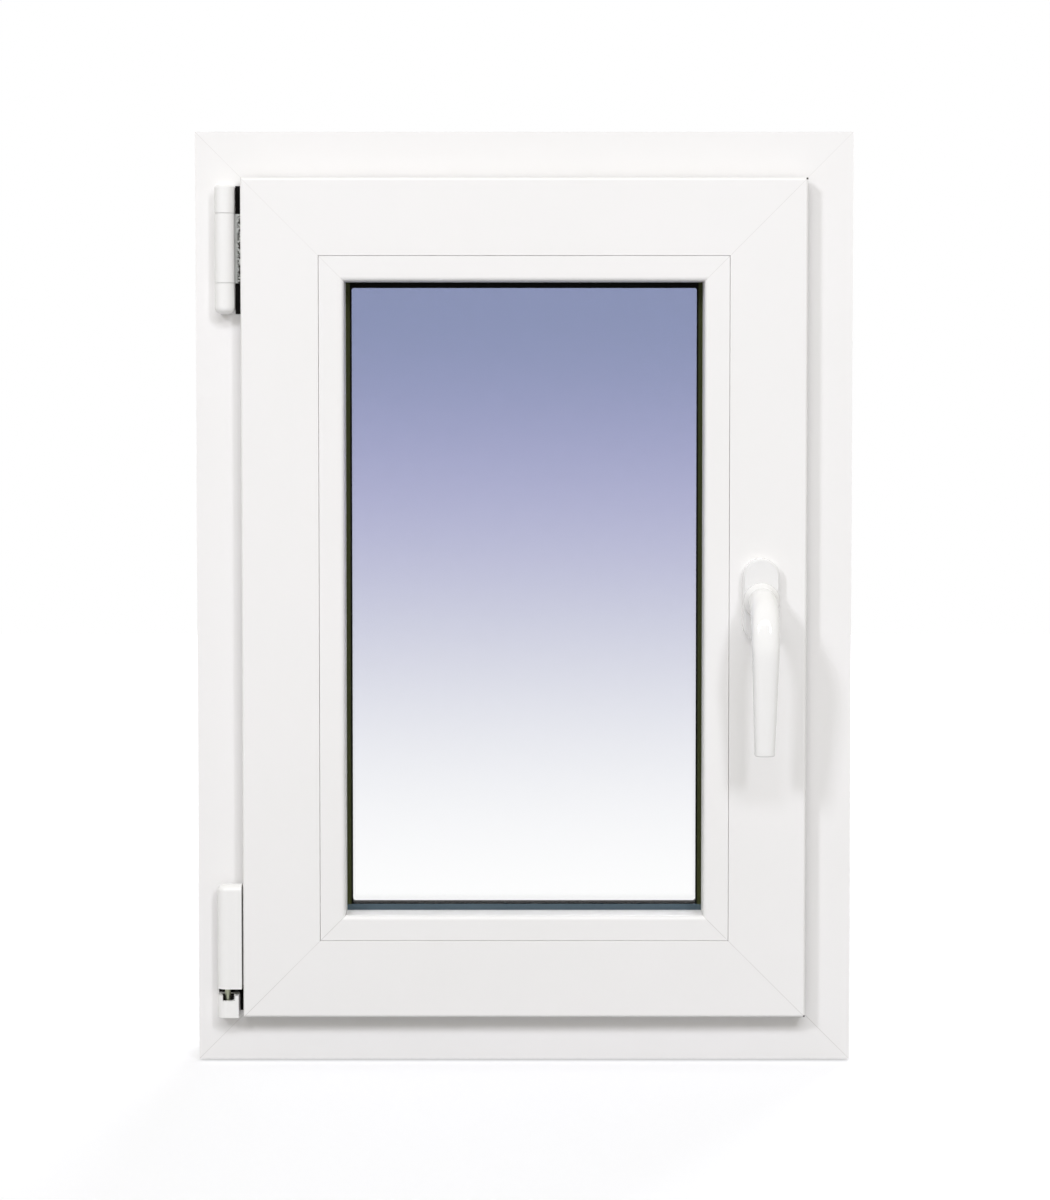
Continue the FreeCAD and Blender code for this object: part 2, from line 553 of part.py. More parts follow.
pin_under = "0.75 * corner_pin_radius"
stem = rod("corner_pin_rod", "corner_pin_radius", f"cover_low + pin_grip - trunnion_height + {pin_under}",
           axis_x, axis_y, f"trunnion_height - {pin_under}")
eye = rod("corner_pin_eye", "trunnion_radius + pin_play", "4 * corner_pin_radius",
          f"{axis_x} - 2 * corner_pin_radius", axis_y, "trunnion_height", (0, 1, 0), 90)
joined("corner_pin", [stem], [eye])

sash_edge = "sash_inset + sash_step - frame_width / 2"
low = "cover_low + end_lap"
high = "cover_high - end_lap"
sleeve = rod("corner_sleeve_rod", "corner_sleeve", f"{high} - ({low}) - sleeve_gap", axis_x, axis_y, low)
web = block("corner_web", f"{axis_x} - strap_thick / 2", axis_y, low, f"{axis_x} + strap_thick / 2",
            strap_rear, f"{high} - sleeve_gap", False)
strap = block("corner_strap", axis_x, strap_front, low, sash_edge,
              strap_rear, high, False)
angle = block("corner_angle", f"{sash_edge} - strap_thick", strap_front, low, sash_edge,
              f"{strap_front} + angle_reach", high, False)
bore = rod("corner_bore", "corner_pin_radius + pin_play", "pin_grip + end_lap", axis_x, axis_y,
           "cover_low - end_lap / 2")
joined("corner_hinge", [sleeve, web, strap, angle], [bore])

body = new_body("corner_hinge_cover", axis_x, axis_y)
sk = new_sketch(body, "XY_Plane", "cover_plan", "cover_low")
barrel_plan(sk, "cup_radius", "cover_back", "sash_inset - hinge_inset - cover_gap")
last = pad(body, sk, "cover_high - cover_low", "cover_pad")
sk = new_sketch(body, "XY_Plane", "cover_bore", "cover_low - end_lap")
circle(sk, "corner_sleeve + cover_play")
last = pocket(body, sk, "cover_high - cover_low - sleeve_gap + end_lap", "cover_bore_cut",
              both=False, flip=True)
rounded(body, last, lambda e, m: near((m.z, "cover_high")) and m.y < num("cover_back") - 0.1 and m.x < 0,
        "cover_round", "cover_top_round")

# handle: rosette and lever
body = new_body("handle_rosette", "handle_x", "sash_row", "mid_height")
sk = new_sketch(body, "XZ_Plane", "rosette_plan")
r = num("rosette_wide / 2")
h = num("(rosette_long - rosette_wide) / 2")
a = sk.addGeometry(Part.ArcOfCircle(Part.Circle(V(0, h, 0), V(0, 0, 1), r), 0, math.pi), False)
b = sk.addGeometry(Part.LineSegment(V(-r, h, 0), V(-r, -h, 0)), False)
c = sk.addGeometry(Part.ArcOfCircle(Part.Circle(V(0, -h, 0), V(0, 0, 1), r), math.pi, 2 * math.pi), False)
d = sk.addGeometry(Part.LineSegment(V(r, -h, 0), V(r, h, 0)), False)
for one, p, two, q in ((a, 2, b, 1), (b, 2, c, 1), (c, 2, d, 1), (d, 2, a, 1)):
    sk.addConstraint(Sketcher.Constraint("Tangent", one, p, two, q))
sk.addConstraint(Sketcher.Constraint("PointOnObject", a, 3, -2))
sk.addConstraint(Sketcher.Constraint("Symmetric", a, 3, c, 3, -1, 1))
k = sk.addConstraint(Sketcher.Constraint("Radius", a, r))
bind(sk, f"Constraints[{k}]", "rosette_wide / 2")
k = sk.addConstraint(Sketcher.Constraint("DistanceY", -1, 1, a, 3, h))
bind(sk, f"Constraints[{k}]", "(rosette_long - rosette_wide) / 2")
last = pad(body, sk, "rosette_thick", "rosette_pad")
last = rounded(body, last, lambda e, m: near((m.y, "-rosette_thick")),
               "rosette_bevel", "rosette_edge", "Chamfer")
sk = new_sketch(body, "XZ_Plane", "rosette_bore", "rosette_thick")
circle(sk, "neck_radius + neck_play")
pocket(body, sk, "bore_deep", "rosette_bore_cut", both=False)

# lever: rounded sections along a bent line, lofted, on a round neck

def soft_rectangle(sk, wide, thick, corner):
    """Rounded rectangle about the sketch's origin, four lines and four arcs."""
    w = num(wide) / 2
    t = num(thick) / 2
    r = num(corner)
    cx = w - r
    cy = t - r
    arcs = []
    lines = []
    for n, (sx, sy) in enumerate(((1, 1), (-1, 1), (-1, -1), (1, -1))):
        whole = Part.Circle(V(sx * cx, sy * cy, 0), V(0, 0, 1), r)
        arcs.append(sk.addGeometry(Part.ArcOfCircle(whole, n * math.pi / 2, (n + 1) * math.pi / 2), False))
    for p, q in ((V(cx, t, 0), V(-cx, t, 0)), (V(-w, cy, 0), V(-w, -cy, 0)),
                 (V(-cx, -t, 0), V(cx, -t, 0)), (V(w, -cy, 0), V(w, cy, 0))):
        lines.append(sk.addGeometry(Part.LineSegment(p, q), False))
    for n in range(4):
        sk.addConstraint(Sketcher.Constraint("Tangent", arcs[n], 2, lines[n], 1))
        sk.addConstraint(Sketcher.Constraint("Tangent", lines[n], 2, arcs[(n + 1) % 4], 1))
    sk.addConstraint(Sketcher.Constraint("Horizontal", lines[0]))
    sk.addConstraint(Sketcher.Constraint("Vertical", lines[1]))
    sk.addConstraint(Sketcher.Constraint("Symmetric", arcs[0], 3, arcs[2], 3, -1, 1))
    sk.addConstraint(Sketcher.Constraint("Equal", arcs[0], arcs[1]))
    sk.addConstraint(Sketcher.Constraint("Equal", arcs[0], arcs[2]))
    k = sk.addConstraint(Sketcher.Constraint("Radius", arcs[0], r))
    bind(sk, f"Constraints[{k}]", corner)
    k = sk.addConstraint(Sketcher.Constraint("DistanceX", -1, 1, arcs[0], 3, cx))
    bind(sk, f"Constraints[{k}]", f"({wide}) / 2 - ({corner})")
    k = sk.addConstraint(Sketcher.Constraint("DistanceY", -1, 1, arcs[0], 3, cy))
    bind(sk, f"Constraints[{k}]", f"({thick}) / 2 - ({corner})")


BEND = [  # distance out, distance down, lean, width, thickness, corner
    ("neck_start", "0", 0, "2 * neck_radius", "2 * neck_radius", "neck_radius - 0.6"),
    ("lever_out * 0.34", "0", 0, "2 * neck_radius - 1", "2 * neck_radius - 1.6", "neck_radius - 1.8"),
    ("lever_out * 0.66", "grip_start * 0.115", 26, "2 * neck_radius", "2 * neck_radius - 2.4",
     "neck_radius - 2.4"),
    ("lever_out * 0.9", "grip_start * 0.44", 58, "lever_wide - 0.4", "lever_thick + 1.6",
     "lever_thick / 2 - 0.4"),
    ("lever_out", "grip_start", 84, "lever_wide", "lever_thick", "lever_thick / 2 - 1"),
]
GRIP = []
for fall, less in (("0", "0"), ("0.35", "0.25"), ("0.75", "0.9"), ("1", "2")):
    GRIP.append(("lever_out - tip_back", f"lever_drop - tip_round + {fall} * tip_round", 89,
                 f"tip_wide - {less} * tip_round", f"tip_thick - {less} * tip_round",
                 f"tip_thick / 2 - 1 - {less} * tip_round / 2.6"))
body = new_body("handle_lever", "handle_x", "rosette_row", "mid_height")
sections = []
for n, (out, down, lean, wide, thick, corner) in enumerate(BEND + GRIP):
    sk = new_sketch(body, "XZ_Plane", f"lever_section{n}")
    sk.AttachmentOffset = FreeCAD.Placement(V(0, 0, 0), FreeCAD.Rotation(V(1, 0, 0), lean))
    bind(sk, "AttachmentOffset.Base.y", f"-({down})")
    bind(sk, "AttachmentOffset.Base.z", out)
    soft_rectangle(sk, wide, thick, corner)
    sections.append(sk)
loft = body.newObject("PartDesign::AdditiveLoft", "lever_bend")
loft.Profile = sections[0]
loft.Sections = sections[1:len(BEND)]
straight = sections[len(BEND) - 1:]
for n, (one, two) in enumerate(zip(straight, straight[1:])):
    loft = body.newObject("PartDesign::AdditiveLoft", f"lever_grip{n}")
    loft.Profile = one
    loft.Sections = [two]
    loft.Ruled = True
sk = new_sketch(body, "XZ_Plane", "lever_neck", "-neck_deep")
circle(sk, "neck_radius")
pad(body, sk, "neck_deep + 2 * neck_start", "lever_neck_pad")
sk = new_sketch(body, "XZ_Plane", "lever_collar", "collar_gap")
circle(sk, "collar_radius")
last = pad(body, sk, "collar_thick", "lever_collar_pad")
last = rounded(body, last, lambda e, m: near((m.y, "-collar_gap - collar_thick")) and
               e.BoundBox.XLength > num("collar_radius"), "collar_bevel", "lever_collar_edge", "Chamfer")

# lock gear in the rebate
block("lock_faceplate", "edge_x - gear_depth", "gear_row + plate_play", "faceplate_end", "edge_x",
      "gear_row + gear_groove - plate_play", "frame_height - faceplate_end")
guide_top = "frame_height - sash_inset - sash_step"
block("stay_guide", "guide_end - frame_width / 2", "gear_row + plate_play", f"{guide_top} - gear_depth",
      "guide_end - frame_width / 2 + guide_long", "gear_row + gear_groove - plate_play", guide_top)
cams = []
plates = []
for name, z in (("low", "cam_end"), ("high", "frame_height - cam_end")):
    cams.append(rod("cam_" + name, "cam_radius", "cam_out", "edge_x", "gear_row + gear_groove / 2", z,
                    (0, 1, 0), 90))
    plates.append(block("striker_" + name, "frame_width / 2 - frame_face - striker_thick",
                        "gear_row + striker_play", f"{z} + striker_gap", "frame_width / 2 - frame_face",
                        "gear_row + gear_groove - striker_play", f"{z} + striker_gap + striker_long", False))
for label, pieces in (("locking_cams", cams), ("strikers", plates)):
    both = doc.addObject("Part::Compound", label)
    both.Links = pieces
    both.Label = label
    FINAL.append(both)

doc.recompute()
bad = [f"{o.Name}: {o.State}" for o in doc.Objects if "Invalid" in o.State or "Error" in o.State]
os.makedirs("parts", exist_ok=True)
for old in os.listdir("parts"):
    os.remove(os.path.join("parts", old))
faces = 0
for obj in FINAL:
    shape = obj.Shape
    if shape.isNull() or not shape.isValid() or not shape.Solids:
        bad.append(obj.Label + ": no valid solid")
        continue
    shape.exportStep(f"parts/{obj.Label}.step")
    box = shape.BoundBox
    count = len(shape.tessellate(0.1)[1])
    faces += count
    reach = [f"{low:.1f}..{high:.1f}" for low, high in ((box.XMin, box.XMax), (box.YMin, box.YMax),
                                                        (box.ZMin, box.ZMax))]
    print(f"{obj.Label:22s} solids {len(shape.Solids)} triangles {count:5d}", *reach)
print("triangles", faces)
if bad:
    raise RuntimeError("; ".join(bad))
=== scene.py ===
"""Tilt and turn window: finishes, fixings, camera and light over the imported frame."""
import json
import math

import bmesh
import bpy
from mathutils import Matrix, Vector


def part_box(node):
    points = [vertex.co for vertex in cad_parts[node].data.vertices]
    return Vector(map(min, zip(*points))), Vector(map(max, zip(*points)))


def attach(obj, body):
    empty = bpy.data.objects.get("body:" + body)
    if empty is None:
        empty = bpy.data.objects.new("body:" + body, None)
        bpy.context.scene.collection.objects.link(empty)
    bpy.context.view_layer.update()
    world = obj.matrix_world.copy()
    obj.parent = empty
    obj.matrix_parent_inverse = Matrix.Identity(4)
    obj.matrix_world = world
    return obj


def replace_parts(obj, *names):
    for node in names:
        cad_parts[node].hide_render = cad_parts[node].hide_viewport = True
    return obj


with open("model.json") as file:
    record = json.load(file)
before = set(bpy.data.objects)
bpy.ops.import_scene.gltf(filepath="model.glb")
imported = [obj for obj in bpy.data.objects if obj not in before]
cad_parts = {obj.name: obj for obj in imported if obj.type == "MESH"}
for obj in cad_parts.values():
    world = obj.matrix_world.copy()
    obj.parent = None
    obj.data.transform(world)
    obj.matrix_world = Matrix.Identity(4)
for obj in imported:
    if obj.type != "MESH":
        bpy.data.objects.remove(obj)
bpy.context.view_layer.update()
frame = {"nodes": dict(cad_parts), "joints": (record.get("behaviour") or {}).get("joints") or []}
NODES = frame["nodes"]

MM = 0.001
FRAME_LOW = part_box("frame_left")[0]
FRAME_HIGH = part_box("frame_right")[1]
HALF_WIDTH = FRAME_HIGH[0]
MID_HEIGHT = FRAME_HIGH[2] / 2
ROOM_FACE = FRAME_LOW[1]
SIGHT_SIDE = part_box("bead_right")[0][0]
SIGHT_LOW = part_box("bead_bottom")[1][2]
SIGHT_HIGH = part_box("bead_top")[0][2]

# photograph: scale on the frame's room face, and where the frame's middle lies
PHOTO_WIDE = 1050
PHOTO_HIGH = 1200
PIXELS_PER_MM = 1.308
FRAME_MIDDLE = (524.2, 598.6)
CAMERA_AWAY = 2.3
CAMERA_ABOVE_MIDDLE = 0.16
CAMERA_DOWN = math.radians(2.7)


class Number:
    """A value on a shader socket; sums on it add Math nodes."""

    def __init__(self, finish, socket):
        self.finish = finish
        self.socket = socket

    def math(self, operation, *others):
        return self.finish.node("ShaderNodeMath", {"operation": operation}, dict(enumerate((self,) + others)))

    def __add__(self, other):
        return self.math("ADD", other)

    def __mul__(self, other):
        return self.math("MULTIPLY", other)

    def __sub__(self, other):
        return self.math("SUBTRACT", other)

    def __truediv__(self, other):
        return self.math("DIVIDE", other)

    def __rsub__(self, other):
        return self.finish.node("ShaderNodeMath", {"operation": "SUBTRACT"}, {0: other, 1: self})

    def __abs__(self):
        return self.math("ABSOLUTE")

    __radd__ = __add__
    __rmul__ = __mul__

    def below(self, edge, soft):
        """1 under edge, falling to 0 over the width soft."""
        ramp = {"interpolation_type": "SMOOTHSTEP"}
        return self.finish.node("ShaderNodeMapRange", ramp,
                                {"Value": self, "From Min": edge, "From Max": edge + soft,
                                 "To Min": 1.0, "To Max": 0.0})


class Finish:
    """One material: its Principled shader and the nodes that feed it."""

    def __init__(self, name, **constants):
        self.material = bpy.data.materials.new(name)
        self.material.use_nodes = True
        self.tree = self.material.node_tree
        self.shader = self.tree.nodes["Principled BSDF"]
        self.feed(**constants)
        place = self.tree.nodes.new("ShaderNodeTexCoord")
        self.place = Number(self, place.outputs["Object"])

    def node(self, kind, settings, sockets, output=0):
        """Adds a node with its settings and inputs, and returns one of its outputs."""
        made = self.tree.nodes.new(kind)
        for key, value in settings.items():
            setattr(made, key, value)
        for key, value in sockets.items():
            self.plug(made.inputs[key], value)
        return Number(self, made.outputs[output])

    def plug(self, socket, value):
        """Links a number to a socket, or sets a plain value on it."""
        if isinstance(value, Number):
            self.tree.links.new(value.socket, socket)
        elif socket.type == "RGBA" and len(value) == 3:
            socket.default_value = (*value, 1.0)
        else:
            socket.default_value = value

    def feed(self, **inputs):
        """Sets or links inputs of the Principled shader, named with _ for a space."""
        for key, value in inputs.items():
            self.plug(self.shader.inputs[key.replace("_", " ")], value)

    def axes(self):
        """The three Object coordinates as numbers, in metres."""
        split = self.node("ShaderNodeSeparateXYZ", {}, {0: self.place}).socket.node
        return [Number(self, split.outputs[i]) for i in range(3)]

    def noise(self, scale, detail, stretch=(1, 1, 1)):
        at = self.node("ShaderNodeMapping", {}, {"Vector": self.place, "Scale": stretch})
        return self.node("ShaderNodeTexNoise", {}, {"Vector": at, "Scale": scale, "Detail": detail})

    def mix(self, factor, one, two):
        return self.node("ShaderNodeMix", {"data_type": "RGBA"}, {0: factor, 6: one, 7: two}, 2)

    def bump(self, height, strength, distance):
        return self.node("ShaderNodeBump", {},
                         {"Height": height, "Strength": strength, "Distance": distance})


def linear(red, green, blue):
    """A colour as the screen shows it, 0 to 255, as light."""
    def channel(v):
        v /= 255
        return v / 12.92 if v <= 0.04045 else ((v + 0.055) / 1.055) ** 2.4
    return tuple(channel(v) for v in (red, green, blue))


# finishes

WHITE = (1.0, 1.0, 1.0)
# widths of the glazing gasket's painted reflections: blue-grey on the sill, olive down the jambs
SKY_REFLECTION_WIDE = 4.3 * MM
OLIVE_REFLECTION_WIDE = 3.4 * MM
# where the stay arm's band of painted shade lies, in the gap beside the sash
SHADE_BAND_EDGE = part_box("sash_left")[0][0] + 2.0 * MM
SHADE_BAND_WIDE = 6.5 * MM
SASH_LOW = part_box("sash_right")[0]
SASH_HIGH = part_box("sash_right")[1]
# size and depth of the painted shade in the small gaps at the sash's right corners
GAP_SHADE_SIZE = 1.3 * MM
GAP_SHADE_DEEP = 2.0 * MM
WELD_HALF = 0.08 * MM
WELD_SOFT = 0.4 * MM
# colours of the sky reflection painted into the inner pane
SKY_REFLECTION_BLUE = linear(136, 145, 181)
SKY_REFLECTION_VIOLET = linear(182, 160, 255)


def weld_seam(finish):
    """1 on the corner welds, which run at 45 degrees; the lower ones hold more dust."""
    x, _, z = finish.axes()
    from_side = HALF_WIDTH - abs(x)
    from_end = MID_HEIGHT - abs(z - MID_HEIGHT)
    line = abs(from_side - from_end).below(WELD_HALF, WELD_SOFT)
    dust = 0.45 + 0.55 * z.below(MID_HEIGHT, 0.3 * MID_HEIGHT)
    return line * dust * (1.3 - finish.noise(26.0, 1.0) * 1.3)


def corner_gap_shade(finish):
    """1 at the small gaps at the sash's right corners, where a dark spot of painted shade goes."""
    x, y, z = finish.axes()
    front = y.below(SASH_LOW[1] + GAP_SHADE_DEEP, 0.5 * MM)
    from_edge = abs(x - SASH_HIGH[0])
    from_end = abs(abs(z - MID_HEIGHT) - (SASH_HIGH[2] - SASH_LOW[2]) / 2)
    return front * from_edge.below(GAP_SHADE_SIZE, 0.5 * MM) * from_end.below(GAP_SHADE_SIZE, 0.5 * MM)


def white_profile():
    """Extruded white plastic: faint cloudiness, satin skin, fine weld lines at the corners."""
    f = Finish("white_profile", IOR=1.5)
    cloud = f.noise(9.0, 3.0)
    tone = f.mix(cloud, linear(243, 242, 240), linear(247, 245, 244))
    seam = weld_seam(f)
    tone = f.mix(seam * 0.6, tone, linear(176, 172, 166))
    # painted shade: dark spots in the small gaps at the sash's right corners
    f.feed(Base_Color=f.mix(corner_gap_shade(f), tone, linear(40, 36, 28)))
    f.feed(Roughness=0.34 + 0.1 * f.noise(60.0, 2.0))
    satin = f.noise(1400.0, 1.0) * 0.12 + f.noise(130.0, 1.0, (1, 1, 0.2)) * 0.3
    f.feed(Normal=f.bump(satin - seam * 0.8, 0.16, 0.25 * MM))
    return f.material


def white_enamel(name, colour, rough, peel):
    """Powder coat on the hinges and handle: smooth, glossy, with more or less orange peel."""
    f = Finish(name, IOR=1.5, Coat_Roughness=0.04)
    f.feed(Base_Color=f.mix(f.noise(22.0, 3.0), linear(*colour), linear(*[c - 5 for c in colour])))
    f.feed(Roughness=rough + 0.08 * f.noise(300.0, 1.0), Coat_Weight=0.35 + 0.15 * f.noise(40.0, 1.0))
    f.feed(Normal=f.bump(f.noise(900.0, 1.0), peel, 0.2 * MM))
    return f.material


def black_nylon_and_gap_shade():
    """Dull, deep black: the moulded turning foot in the corner cup, and the packers beside the hinges, whose
    black is partly plastic and partly painted shade for the deep gap there.
    """
    f = Finish("black_nylon_and_gap_shade", Specular_IOR_Level=0.12)
    f.feed(Base_Color=f.mix(f.noise(160.0, 2.0), linear(5, 4, 4), linear(20, 15, 12)))
    f.feed(Roughness=0.55 + 0.25 * f.noise(300.0, 2.0))
    return f.material


def zinc_steel(name, painted_shade=False):
    """Galvanised hardware: rolled grain and a little dull bloom; on the stay, a speckled band of painted
    shade by its pivot, where it lies in the dark gap beside the sash.
    """
    f = Finish(name, Metallic=1.0)
    grain = f.noise(260.0, 3.0, (1, 1, 0.08))
    tone = f.mix(f.noise(34.0, 3.0), linear(176, 178, 174), linear(205, 206, 204))
    if painted_shade:
        x, _, _ = f.axes()
        # painted shade: a dark speckled band on the stay where it lies in the gap by the sash
        speckle = f.noise(420.0, 2.0).below(0.44, 0.16)
        shade_band = x.below(SHADE_BAND_EDGE, 1.5 * MM) - x.below(SHADE_BAND_EDGE - SHADE_BAND_WIDE, 2.5 * MM)
        tone = f.mix(shade_band * speckle, tone, linear(58, 56, 52))
    f.feed(Base_Color=tone, Roughness=0.28 + 0.22 * grain)
    f.feed(Normal=f.bump(grain, 0.12, 0.15 * MM))
    return f.material


def pivot_metal():
    """The corner pin: chromated, greenish grey."""
    f = Finish("pivot_metal", Metallic=0.85)
    f.feed(Base_Color=f.mix(f.noise(180.0, 3.0), linear(140, 146, 124), linear(186, 190, 168)))
    f.feed(Roughness=0.35 + 0.2 * f.noise(320.0, 2.0))
    return f.material


def spacer_metal():
    """The hollow bar between the panes: mill aluminium with its row of breathing holes."""
    f = Finish("spacer_metal", Metallic=0.9)
    holes = f.node("ShaderNodeTexVoronoi", {}, {"Vector": f.place, "Scale": 420.0})
    f.feed(Base_Color=f.mix(holes.below(0.12, 0.1), linear(190, 192, 194), linear(90, 92, 94)))
    f.feed(Roughness=0.35 + 0.15 * f.noise(200.0, 2.0))
    return f.material


def black_seal(name, painted_reflections):
    """Black rubber; the glazing gasket has painted reflections: olive down its sides, and blue-grey where it
    faces up to the light.
    """
    f = Finish(name, Specular_IOR_Level=0.06)
    streak = f.noise(90.0, 3.0, (0.3, 1, 1))
    tone = f.mix(streak, linear(3, 3, 3), linear(14, 15, 12))
    if painted_reflections:
        x, _, z = f.axes()
        # painted reflections: olive down the jambs, and blue-grey on the sill where the gasket faces up to
        # the light
        sill = z.below(SIGHT_LOW + SKY_REFLECTION_WIDE, 0.3 * MM)
        jamb = 1 - abs(x).below(SIGHT_SIDE - OLIVE_REFLECTION_WIDE, 0.5 * MM)
        tone = f.mix(jamb, tone, linear(60, 64, 38))
        tone = f.mix(sill * (0.8 + 0.2 * streak), tone, linear(80, 95, 104))
    f.feed(Base_Color=tone, Roughness=0.45 + 0.3 * f.noise(240.0, 2.0))
    f.feed(Normal=f.bump(f.noise(500.0, 2.0), 0.15, 0.2 * MM))
    return f.material


def painted_sky_glass():
    """The inner pane carries a painted reflection of the sky: blue at the head, violet below it, clear at the
    sill.
    """
    f = Finish("painted_sky_glass", Transmission_Weight=1.0, IOR=1.45, Roughness=0.0)
    _, _, z = f.axes()
    # painted sky reflection, graded from blue at the head down to clear at the sill
    up = (z - SIGHT_LOW) / (SIGHT_HIGH - SIGHT_LOW)
    clear = up.below(-0.06, 1.04)
    tint = f.mix(clear, SKY_REFLECTION_BLUE, WHITE)
    deep = 1 - clear
    f.feed(Base_Color=f.mix(clear * deep * deep * deep, tint, SKY_REFLECTION_VIOLET))
    return f.material


def clear_glass():
    """The outer pane: clear, with a breath of green."""
    f = Finish("clear_glass", Transmission_Weight=1.0, IOR=1.45, Roughness=0.0)
    haze = f.noise(14.0, 3.0)
    f.feed(Base_Color=f.mix(haze, (0.995, 1.0, 0.997), WHITE))
    return f.material


def dress(material, *names):
    """Gives the named solids one material."""
    for name in names:
        slots = NODES[name].data.materials
        slots.clear()
        slots.append(material)


SIDES = ("bottom", "top", "left", "right")
PROFILE = white_profile()
STEEL = zinc_steel("zinc_steel")
SEAL = black_seal("black_seal", False)
dress(PROFILE, *[part + side for part in ("frame_", "sash_", "bead_") for side in SIDES])
dress(white_enamel("hinge_enamel", (247, 246, 244), 0.32, 0.08), "upper_hinge_bearing", "stay_cover",
      "corner_bearing", "corner_hinge_cover")
HANDLE = white_enamel("handle_enamel", (250, 249, 247), 0.05, 0.02)
dress(HANDLE, "handle_lever")
dress(white_enamel("rosette_enamel", (242, 241, 240), 0.2, 0.05), "handle_rosette")
dress(zinc_steel("stay_steel_painted_shade", True), "stay_arm")
dress(STEEL, "corner_hinge", "upper_hinge_pin", "lock_faceplate", "stay_guide",
      "locking_cams", "strikers")
dress(pivot_metal(), "corner_pin")
# the packers' black stands partly for the shade in the deep gap beside the hinges
dress(black_nylon_and_gap_shade(), "corner_foot", "upper_packer", "corner_packer")
dress(spacer_metal(), "spacer_frame")
dress(black_seal("glazing_gasket", True), "inner_gasket")
dress(SEAL, "outer_gasket", "sash_seal", "frame_seal")
dress(painted_sky_glass(), "inner_pane")
dress(clear_glass(), "outer_pane")


# pieces

JOINTS = {joint["name"]: joint for joint in frame["joints"]}


def enter(name, data):
    """A new object in the scene."""
    item = bpy.data.objects.new(name, data)
    bpy.context.scene.collection.objects.link(item)
    return item


def add_piece(name, mesh, body):
    """A piece that the solids don't have, moving with a body."""
    item = enter(name, mesh)
    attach(item, body)
    return item


def skin(bm, rings):
    """Joins rings of points, all with the same count, into one closed skin."""
    loops = [[bm.verts.new(point) for point in ring] for ring in rings]
    for one, two in zip(loops, loops[1:]):
        for i in range(len(one)):
            j = (i + 1) % len(one)
            bm.faces.new((one[i], one[j], two[j], two[i]))
    bm.faces.new(list(reversed(loops[0])))
    bm.faces.new(loops[-1])


def blend(stops, at):
    """The value at a place among stops of (place, value), straight between them."""
    for (a, one), (b, two) in zip(stops, stops[1:]):
        if at <= b:
            return one + (two - one) * (at - a) / (b - a)
    return stops[-1][1]


RING_POINTS = 48
BEND_RINGS = 16
GRIP_RINGS = 14
TIP_RINGS = 6
LEVER_OUT = 41.0
LEVER_TIP = Vector((34.0, 113.7))  # distance out from the rosette, distance down
TIP_ROUND = 1.5
LEVER_SHARP = math.radians(50)
BEND = [Vector((4.0, 0.0)), Vector((29.0, 0.0)), Vector((38.4, 12.0)), Vector((LEVER_OUT, 36.0))]
WIDTHS = [(0, 22.0), (20, 21.4), (45, 21.4), (132, 15.4)]  # along the lever, width across
THICKS = [(0, 22.0), (14, 19.6), (30, 16.8), (45, 15.0), (132, 11.0)]
SQUARE = [(0, 2.0), (18, 2.15), (36, 2.35), (60, 2.4), (132, 2.5)]  # 2 is an oval, more is squarer
ROUND = 2.0
COLLAR = [(0.4, 13.1), (0.8, 13.6), (1.5, 13.8), (2.6, 13.7), (3.6, 13.4), (4.8, 12.8), (6.2, 12.1),
          (8.0, 11.4), (10.0, 10.6)]  # distance out, radius


def lever_line():
    """Places and directions down the lever's middle: a bend, then the straight grip."""
    places = []
    for n in range(BEND_RINGS + 1):
        t = n / BEND_RINGS
        weights = ((1 - t) ** 3, 3 * t * (1 - t) ** 2, 3 * t * t * (1 - t), t ** 3)
        places.append(sum((p * w for p, w in zip(BEND, weights)), Vector((0.0, 0.0))))
    end = LEVER_TIP - (LEVER_TIP - BEND[-1]).normalized() * TIP_ROUND
    for n in range(1, GRIP_RINGS + 1):
        places.append(BEND[-1].lerp(end, n / GRIP_RINGS))
    ahead = [(b - a).normalized() for a, b in zip(places, places[1:])]
    heads = [ahead[0]] + [(a + b).normalized() for a, b in zip(ahead, ahead[1:])] + [ahead[-1]]
    return places, heads


def lever():
    """Cast handle: oval grip with a rounded end, bent on to a round neck with a collar."""
    axis = Vector(JOINTS["handle_turn"]["pos_m"])

    def point(place, head, across, through):
        side = Vector((-head.y, head.x))
        flat = place + side * through
        return axis + Vector((across, -flat.x, -flat.y)) * MM

    def ring(place, head, wide, thick, square):
        points = []
        for n in range(RING_POINTS):
            turn = 2 * math.pi * n / RING_POINTS
            c = math.cos(turn)
            s = math.sin(turn)
            across = math.copysign(abs(c) ** (2 / square), c) * wide / 2
            through = math.copysign(abs(s) ** (2 / square), s) * thick / 2
            points.append(point(place, head, across, through))
        return points

    places, heads = lever_line()
    rings = []
    gone = 0.0
    for n, (place, head) in enumerate(zip(places, heads)):
        gone += (place - places[n - 1]).length if n else 0.0
        rings.append(ring(place, head, blend(WIDTHS, gone), blend(THICKS, gone), blend(SQUARE, gone)))
    for n in range(1, TIP_RINGS + 1):
        turn = math.pi / 2 * n / TIP_RINGS
        less = 2 * TIP_ROUND * (1 - math.cos(turn))
        place = places[-1] + heads[-1] * TIP_ROUND * math.sin(turn)
        rings.append(ring(place, heads[-1], WIDTHS[-1][1] - less, THICKS[-1][1] - less, SQUARE[-1][1]))
    out = Vector((1.0, 0.0))
    collar = [ring(Vector((far, 0.0)), out, 2 * radius, 2 * radius, ROUND) for far, radius in COLLAR]
    bm = bmesh.new()
    skin(bm, rings)
    skin(bm, collar)
    bmesh.ops.recalc_face_normals(bm, faces=bm.faces)
    mesh = bpy.data.meshes.new("lever_grip")
    bm.to_mesh(mesh)
    bm.free()
    mesh.shade_smooth()
    mesh.set_sharp_from_angle(angle=LEVER_SHARP)
    mesh.materials.append(HANDLE)
    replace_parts(add_piece("lever_grip", mesh, "handle"), "handle_lever")


